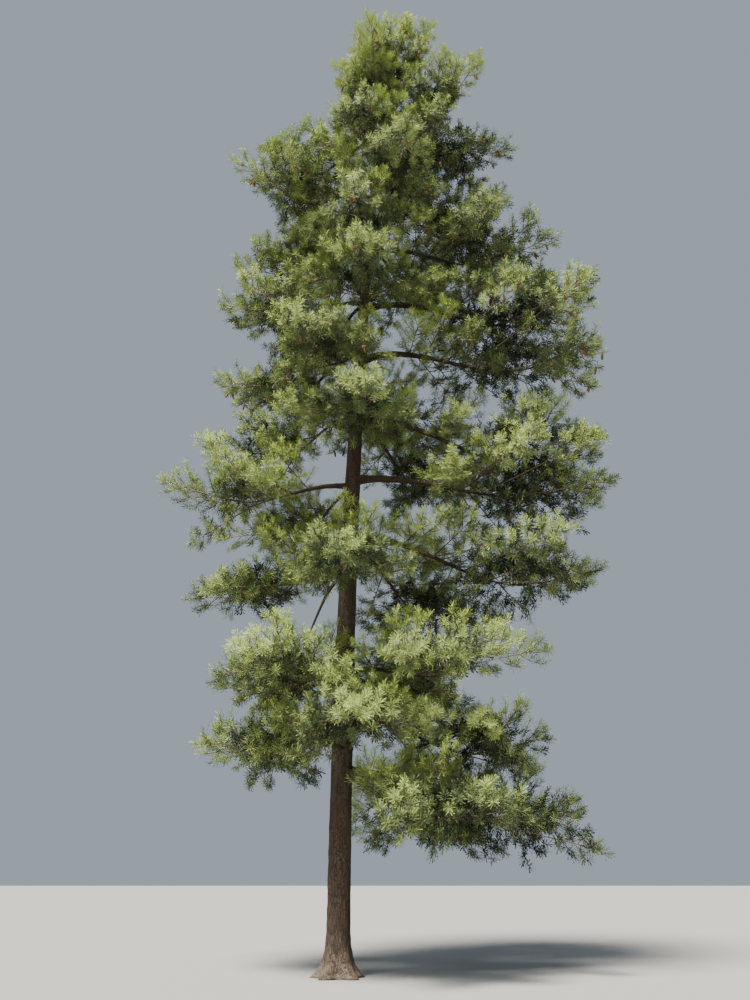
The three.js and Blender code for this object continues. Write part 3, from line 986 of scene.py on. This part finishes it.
def tones_of(shoots):
    """From 0 to 1: high for young needles in painted sunlight above, outside and on the sunny side, low in
    painted shade.
    """
    root = shoots["root"]
    height = np.zeros(len(root))
    for own, space in owned_rows(shoots["owner"]):
        height[own] = (root[own, 2] - space["centre"][2]) / space["halves"][2]
    to_left = trunk_axis(root[:, 2])[:, 0] - root[:, 0]
    tone = tone_middle + young_and_sunlit_by_height * np.clip(height, -1, 1) + painted_sun_to_left * to_left
    tone = tone + young_and_sunlit_by_depth * (shoots["depth"] - typical_depth)
    return np.clip(tone + chance.normal(size=len(tone)) * tone_jitter, 0, 1)


def ways_out(shoots):
    """The way out of its mass and up for each shoot, which its needles' flat sides are turned to."""
    ways = np.zeros_like(shoots["root"])
    for own, space in owned_rows(shoots["owner"]):
        place = (shoots["root"][own] - space["centre"]) @ space["axes"].T
        ways[own] = unit((place / space["halves"] ** 2) @ space["axes"])
    return unit(ways + up * flats_up)


def needle_faces(shoots, needle_count, width_sum):
    """Three corners for each needle. Where a brush has fewer needles, each is wider."""
    along = shoots["along"]
    side = any_side(along)
    number = np.arange(needle_count)
    place = (number + 0.5) / needle_count
    tilt = np.arccos(between(*np.cos(np.radians(needle_tilts)), place))
    tilt = tilt + chance.normal(size=(len(along), needle_count)) * needle_sway
    round_about = fanned(number * golden_angle, side[:, None], np.cross(side, along)[:, None])
    direction = np.cos(tilt)[..., None] * along[:, None] + np.sin(tilt)[..., None] * round_about
    direction = unit(direction + up * needle_turn_up)
    root = shoots["root"][:, None] + along[:, None] * (shoots["length"][:, None] * place)[..., None]
    tip = root + direction * between(*needle_lengths, chance.random(tilt.shape))[..., None]
    facing = shoots["way_out"][:, None] + chance.normal(size=direction.shape) * flats_sway
    flat = unit(np.cross(facing, direction)) * (width_sum / needle_count) / 2
    fans = (number % pointed_every > 0)[:, None]
    point, edge = np.where(fans, root, tip), np.where(fans, tip, root)
    return np.stack([point, edge - flat, edge + flat], axis=2).reshape(-1, 3)


def grow_needles(shoots):
    shoots["way_out"] = ways_out(shoots)
    tone = tones_of(shoots)
    level = np.sum([tone < edge for edge in tone_edges], axis=0)
    band = np.array([band_of(arm["name"]) for arm in arms])[shoots["owner"]]
    pieces = {}
    for name in bands:
        for number, (tone_name, brush) in enumerate(brushes.items()):
            own = (band == name) & (level == number)
            corners = needle_faces(picked(shoots, own), *brush)
            faces = np.arange(len(corners)).reshape(-1, 3)
            pieces[name, tone_name] = mesh_from(f"needles_{name}_{tone_name}", corners, faces)
    return pieces


needle_pieces = grow_needles(shoots)
counts = [len(piece.data.polygons) for piece in needle_pieces.values()]
print("needle pieces", len(counts), "triangles", sum(counts), "largest", max(counts))

# %% [markdown]
# Ripe cones hang in bunches behind the tips of the upper plumes, where the solids have a cone, and by
# chance on others. One cone is a cylinder of rings that is swelled to a spindle, with every other ring
# drawn in to show its scales, and it is copied to each place.

# %% Cones
cone_length = 0.15
cone_width = 0.055
cone_sides = 6
cone_rings = 6
cone_bulge = (0.14, 0.78, 0.6)
cones_in_bunch = 3
extra_bunches = 0.6
bunch_length = 0.35
bunch_drop = 0.12
cone_sway = 0.35
scale_depth = 0.22


def model_cone():
    cone = ring_cylinder("cone_model", cone_sides, 1.0, 1.0, cone_rings)
    corners = corners_of(cone)
    share = corners[:, 2]
    ring = np.round(share * cone_rings)
    swell = bulge(share, *cone_bulge) * np.where(ring % 2 == 0, 1.0, 1 - scale_depth)
    corners[:, :2] *= swell[:, None] * cone_width / 2
    corners[:, 2] *= cone_length
    put_corners(cone, corners)
    return cone


def bears_cones(arm, plume):
    return plume["has_cone"] or (arm["height"] > cone_height and chance.random() < extra_bunches)


def hung_cone(model, start, down):
    cone = copy_of(model)
    lean = Vector(unit(down + chance.normal(size=3) * cone_sway))
    turn = Vector(up).rotation_difference(lean).to_matrix().to_4x4()
    cone.data.transform(Matrix.Translation(Vector(start)) @ turn)
    return cone


def hang_cones(model):
    """Hangs each cone from the foot of the shoot nearest to its place."""
    cones = []
    for owner, arm in enumerate(arms):
        feet = shoots["root"][shoots["owner"] == owner]
        for plume in [plume for plume in arm["plumes"] if bears_cones(arm, plume)]:
            top, down = cone_place(plume)
            for back in any_in(0.0, bunch_length, cones_in_bunch):
                away = np.linalg.norm(feet - (top - plume["along"] * back + down * bunch_drop), axis=1)
                cones.append(hung_cone(model, feet[np.argmin(away)], down))
    return joined(cones, "cones")


cone_model = model_cone()
cone_piece = hang_cones(cone_model)
bpy.data.objects.remove(cone_model)
print("cone triangles", count_triangles(cone_piece))

# %% [markdown]
# Bark needs colour at the scale of its relief: grey-brown plates of uneven shade, thin dark cracks, a
# little rust, and a paler foot in patches, which is paler bark with a painted patch of sunlight. One node
# group makes the masks from cells that are stretched in height and pushed about by noise, and the trunk's
# and the limbs' materials take it with their own plate size.

# %% Nodes
def add_node(tree, kind, values, **settings):
    """Adds a node with its settings, and gives its inputs values or other nodes' outputs."""
    node = tree.nodes.new(kind)
    for key, value in settings.items():
        setattr(node, key, value)
    for label, value in values.items():
        if isinstance(value, bpy.types.NodeSocket):
            tree.links.new(value, node.inputs[label])
        else:
            node.inputs[label].default_value = value
    return node


def new_material(name, roughness, gloss):
    material = bpy.data.materials.new(name)
    material.use_nodes = True
    surface = material.node_tree.nodes["Principled BSDF"]
    surface.inputs["Roughness"].default_value = roughness
    surface.inputs["Specular IOR Level"].default_value = gloss
    return material, surface


print("node helpers ready")

# %% Bark pattern
# Each noise is its scale and its detail, and each ramp is the values that become 0 and 1.
bark_masks = ("Plate", "Shade", "Rust", "Pale Sunlit Foot", "Height")
plate_squeeze = (1.0, 1.0, 0.3)
wander_noise = (14.0, 4.0)
wander_by = (0.09, 0.09, 0.09)
crack_ramp = (0.0, 0.09)
streak_noise = (9.0, 6.0)
streak_ramp = (0.4, 0.95)
cell_shade = 0.35
grain_noise = (60.0, 5.0)
grain_height = 0.5
rust_noise = (2.2, 4.0)
rust_ramp = (0.46, 0.66)
# The pale foot is paler bark with a painted patch of sunlight on it.
foot_noise = (6.0, 3.0)
foot_patches = (0.35, 0.6)
foot_ramp = (0.55, 0.05)


def bark_group():
    """Masks of plated bark on object coordinates: cracks, plates' shades, rust and the foot, partly painted
    sunlight.
    """
    group = bpy.data.node_groups.new("bark_pattern", "ShaderNodeTree")
    group.interface.new_socket("Plate Size", in_out="INPUT", socket_type="NodeSocketFloat")
    for label in bark_masks:
        group.interface.new_socket(label, in_out="OUTPUT", socket_type="NodeSocketFloat")
    plate_size = add_node(group, "NodeGroupInput", {}).outputs["Plate Size"]

    def noise(scale, detail, vector, output="Fac"):
        values = {"Scale": scale, "Detail": detail, "Vector": vector}
        return add_node(group, "ShaderNodeTexNoise", values).outputs[output]

    def ramp(value, low, high):
        values = {"Value": value, "From Min": low, "From Max": high}
        return add_node(group, "ShaderNodeMapRange", values).outputs["Result"]

    def cells(feature, output):
        values = {"Vector": wander, "Scale": plate_size}
        return add_node(group, "ShaderNodeTexVoronoi", values, feature=feature).outputs[output]

    def worked_out(operation, *values, kind="ShaderNodeMath"):
        return add_node(group, kind, dict(enumerate(values)), operation=operation).outputs[0]

    place = add_node(group, "ShaderNodeTexCoord", {}).outputs["Object"]
    level = add_node(group, "ShaderNodeSeparateXYZ", {"Vector": place}).outputs["Z"]
    squeeze = {"Vector": place, "Scale": plate_squeeze}
    squeezed = add_node(group, "ShaderNodeMapping", squeeze).outputs["Vector"]
    push = noise(*wander_noise, place, "Color")
    wander = worked_out("MULTIPLY_ADD", push, wander_by, squeezed, kind="ShaderNodeVectorMath")
    plates = ramp(cells("DISTANCE_TO_EDGE", "Distance"), *crack_ramp)
    streaks = ramp(noise(*streak_noise, squeezed), *streak_ramp)
    shade = worked_out("MULTIPLY_ADD", cells("F1", "Color"), cell_shade, streaks)
    rust = ramp(noise(*rust_noise, place), *rust_ramp)
    patches = ramp(noise(*foot_noise, place), *foot_patches)
    foot = worked_out("MULTIPLY", ramp(level, *foot_ramp), patches)
    height = worked_out("MULTIPLY_ADD", noise(*grain_noise, squeezed), grain_height, plates)
    add_node(group, "NodeGroupOutput", dict(zip(bark_masks, (plates, shade, rust, foot, height))))
    return group


bark_pattern = bark_group()
print("bark pattern nodes", len(bark_pattern.nodes))

# %% Bark materials
bark_roughness = 0.92
bark_gloss = 0.25
relief_depth = 0.01
crack_brown = (0.023, 0.016, 0.012, 1)
plate_dark = (0.035, 0.026, 0.018, 1)
plate_pale = (0.102, 0.078, 0.057, 1)
rust_brown = (0.068, 0.041, 0.027, 1)
# Paler bark at the foot, lightened further as a painted patch of sunlight.
sunlit_pale_foot = (0.158, 0.123, 0.090, 1)
# Where a mix node has its share, its two colours and the mixed colour.
mix_share, mix_low, mix_high, mixed_color = 0, 6, 7, 2


def bark_material(name, plate_size, bump):
    """Dark cracks, then plates between two greys, then rusty patches and a pale foot over them, partly
    painted sunlight.
    """
    material, surface = new_material(name, bark_roughness, bark_gloss)
    tree = material.node_tree
    size = {"Plate Size": plate_size}
    mask = add_node(tree, "ShaderNodeGroup", size, node_tree=bark_pattern).outputs

    def mixed(share, low, high):
        values = {mix_share: share, mix_low: low, mix_high: high}
        return add_node(tree, "ShaderNodeMix", values, data_type="RGBA").outputs[mixed_color]

    plates = mixed(mask["Shade"], plate_dark, plate_pale)
    rusty = mixed(mask["Rust"], plates, rust_brown)
    footed = mixed(mask["Pale Sunlit Foot"], rusty, sunlit_pale_foot)
    tree.links.new(mixed(mask["Plate"], crack_brown, footed), surface.inputs["Base Color"])
    bumps = {"Strength": bump, "Distance": relief_depth, "Height": mask["Height"]}
    relief = add_node(tree, "ShaderNodeBump", bumps).outputs["Normal"]
    tree.links.new(relief, surface.inputs["Normal"])
    return material


trunk_bark = bark_material("trunk_bark", plate_size=24.0, bump=0.8)
limb_bark = bark_material("limb_bark", plate_size=44.0, bump=0.5)
print("bark materials", trunk_bark.name, limb_bark.name)

# %% [markdown]
# Needles, twigs and cones have plain base colours, because each brush is far smaller than a pattern would
# be. Pine needles are smooth under a thin bloom of wax, so they are neither rough nor shiny.

# %% Plain materials
plain_gloss = 0.15
needle_roughness = 0.55
# Lit and shaded copies of one green: the palest two are young growth in painted sunlight, the darkest two
# are older needles in painted shade, the last nearly black.
needle_colors = {
    "fresh": (0.365, 0.445, 0.118, 1),
    "bright": (0.300, 0.373, 0.102, 1),
    "middle": (0.222, 0.281, 0.084, 1),
    "deep": (0.076, 0.101, 0.037, 1),
    "dull": (0.017, 0.025, 0.012, 1),
}


def plain_material(name, color, roughness):
    material, surface = new_material(name, roughness, plain_gloss)
    surface.inputs["Base Color"].default_value = color
    return material


needle_materials = {
    tone: plain_material(f"needle_{tone}", color, needle_roughness) for tone, color in needle_colors.items()
}
twig_material = plain_material("twig_bark", color=(0.11, 0.085, 0.06, 1), roughness=0.9)
shoot_material = plain_material("shoot_bark", color=(0.13, 0.11, 0.06, 1), roughness=0.85)
cone_material = plain_material("cone_scales", color=(0.135, 0.080, 0.048, 1), roughness=0.8)
print("needle greens", len(needle_materials))

# %% [markdown]
# A tree has no joints, so every piece rides on the one body. Each piece but the cones also names the solids
# whose place it takes: the needles of a band of tiers take the place of that band's masses.

# %% Dress the pieces
def dress(piece, material, slot, nodes):
    piece.data.materials.clear()
    piece.data.materials.append(material)
    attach(piece, "root")
    if nodes:
        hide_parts(*nodes)


woody_pieces = [
    (trunk, trunk_bark, "bark", ["trunk"]),
    (bough_limbs, limb_bark, "limb_bark", boughs),
    (mass_stems, limb_bark, "limb_bark", masses),
    (twig_piece, twig_material, "limb_bark", masses),
    (shoot_piece, shoot_material, "limb_bark", masses),
    (cone_piece, cone_material, "limb_bark", []),
]
for row in woody_pieces:
    dress(*row)
for (band, tone), piece in needle_pieces.items():
    dress(piece, needle_materials[tone], "needles", [name for name in masses if band_of(name) == band])
print("pieces", len(woody_pieces) + len(needle_pieces))

# %% [markdown]
# A plain pale floor under soft light: a large sun high in front and a little to the left, as in the photo,
# and a pale sky all round that fills the shade.

# %% Floor, light and sky
floor_size = 300
floor_color = (0.25, 0.25, 0.24, 1)
floor_roughness = 0.9
sun_strength = 17
sun_softness = 18
sun_elevation = 58
sun_azimuth = 246
sun_color = (1.0, 0.955, 0.88)
sky_color = (0.62, 0.72, 0.84, 1)
sky_strength = 0.55

bpy.ops.mesh.primitive_plane_add(size=floor_size)
floor = bpy.context.object
floor.name = "floor"
floor.data.materials.append(plain_material("floor_pale", floor_color, floor_roughness))

sun = link(bpy.data.objects.new("sun", bpy.data.lights.new("sun", "SUN")))
sun.data.energy = sun_strength
sun.data.angle = math.radians(sun_softness)
sun.data.color = sun_color
to_sun = Vector(rising(toward(sun_azimuth), sun_elevation))
sun.rotation_euler = to_sun.to_track_quat("Z", "Y").to_euler()

sky = bpy.data.worlds.new("sky")
sky.use_nodes = True
background = sky.node_tree.nodes["Background"]
background.inputs["Color"].default_value = sky_color
background.inputs["Strength"].default_value = sky_strength
bpy.context.scene.world = sky
print("sun from", sun_azimuth, "degrees, up", sun_elevation)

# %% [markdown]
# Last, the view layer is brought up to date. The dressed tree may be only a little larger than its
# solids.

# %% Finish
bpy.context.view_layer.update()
